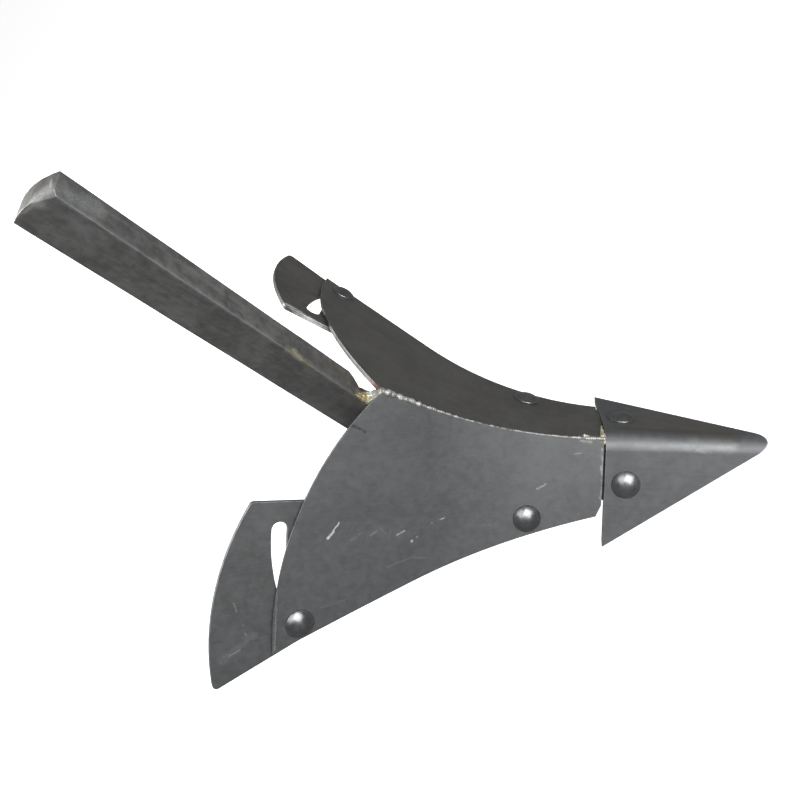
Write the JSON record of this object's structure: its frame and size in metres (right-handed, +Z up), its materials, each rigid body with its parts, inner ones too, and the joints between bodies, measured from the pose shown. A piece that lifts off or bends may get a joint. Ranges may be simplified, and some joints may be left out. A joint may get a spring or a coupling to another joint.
{
  "type": "ridging plough body",
  "caption": "Ridging plough body with a flat bar shank, a bent V share, rolled wings welded at the nose and slotted adjustable extension wings.",
  "frame": {"origin": "on the shank's centreline at the height where the tool bar's clamp holds it", "axes": "+X forward, the way the share points; +Y to the left; +Z up along the shank; the XZ plane is the plane of symmetry"},
  "size_m": [0.4022, 0.4472, 0.5277],
  "materials": {
    "shank_steel": "dark oiled hot rolled bar, scuffed",
    "wing_steel": "dark oiled hot rolled plate, satin, light scratches",
    "share_steel": "dark hardened plate, satin",
    "bracket_steel": "dark plate, matt",
    "fastener_steel": "blackened steel, semi bright domes",
    "weld_metal": "ground weld with a straw coloured heat tint"
  },
  "bodies": {
    "plough_body": {"shank": "shank_steel", "web": "bracket_steel", "frog": "bracket_steel", "share": "share_steel", "nose_weld": "weld_metal", "head_weld": "weld_metal", "wing_right": "wing_steel", "wing_left": "wing_steel", "web_weld_right": "weld_metal", "web_weld_left": "weld_metal", "share_bolt_right": "fastener_steel", "share_washer_right": "fastener_steel", "share_spring_washer_right": "fastener_steel", "share_nut_right": "fastener_steel", "wing_bolt_right": "fastener_steel", "wing_washer_right": "fastener_steel", "wing_spring_washer_right": "fastener_steel", "wing_nut_right": "fastener_steel", "share_bolt_left": "fastener_steel", "share_washer_left": "fastener_steel", "share_spring_washer_left": "fastener_steel", "share_nut_left": "fastener_steel", "wing_bolt_left": "fastener_steel", "wing_washer_left": "fastener_steel", "wing_spring_washer_left": "fastener_steel", "wing_nut_left": "fastener_steel", "clamp_bolt_right": "fastener_steel", "clamp_bolt_left": "fastener_steel"},
    "clamp_right": {"clamp_washer_right": "fastener_steel", "clamp_spring_washer_right": "fastener_steel", "clamp_nut_right": "fastener_steel"},
    "extension_right": {"extension_right": "wing_steel"},
    "clamp_left": {"clamp_washer_left": "fastener_steel", "clamp_spring_washer_left": "fastener_steel", "clamp_nut_left": "fastener_steel"},
    "extension_left": {"extension_left": "wing_steel"}
  },
  "joints": [
    {"name": "extension_swivel_right", "type": "hinge", "parent": "plough_body", "child": "clamp_right", "pos_m": [-0.07058, -0.16867, -0.25277], "axis": [0.7643, -0.5713, 0.2991], "range_deg": [-20, 20]},
    {"name": "extension_slot_travel_right", "type": "hinge", "parent": "clamp_right", "child": "extension_right", "pos_m": [0.03148, -0.07241, -0.32971], "axis": [0.7643, -0.5713, 0.2991], "range_deg": [0, 30]},
    {"name": "extension_swivel_left", "type": "hinge", "parent": "plough_body", "child": "clamp_left", "pos_m": [-0.07058, 0.16867, -0.25277], "axis": [-0.7643, -0.5713, -0.2991], "range_deg": [-20, 20]},
    {"name": "extension_slot_travel_left", "type": "hinge", "parent": "clamp_left", "child": "extension_left", "pos_m": [0.03148, 0.07241, -0.32971], "axis": [-0.7643, -0.5713, -0.2991], "range_deg": [0, 30]}
  ]
}
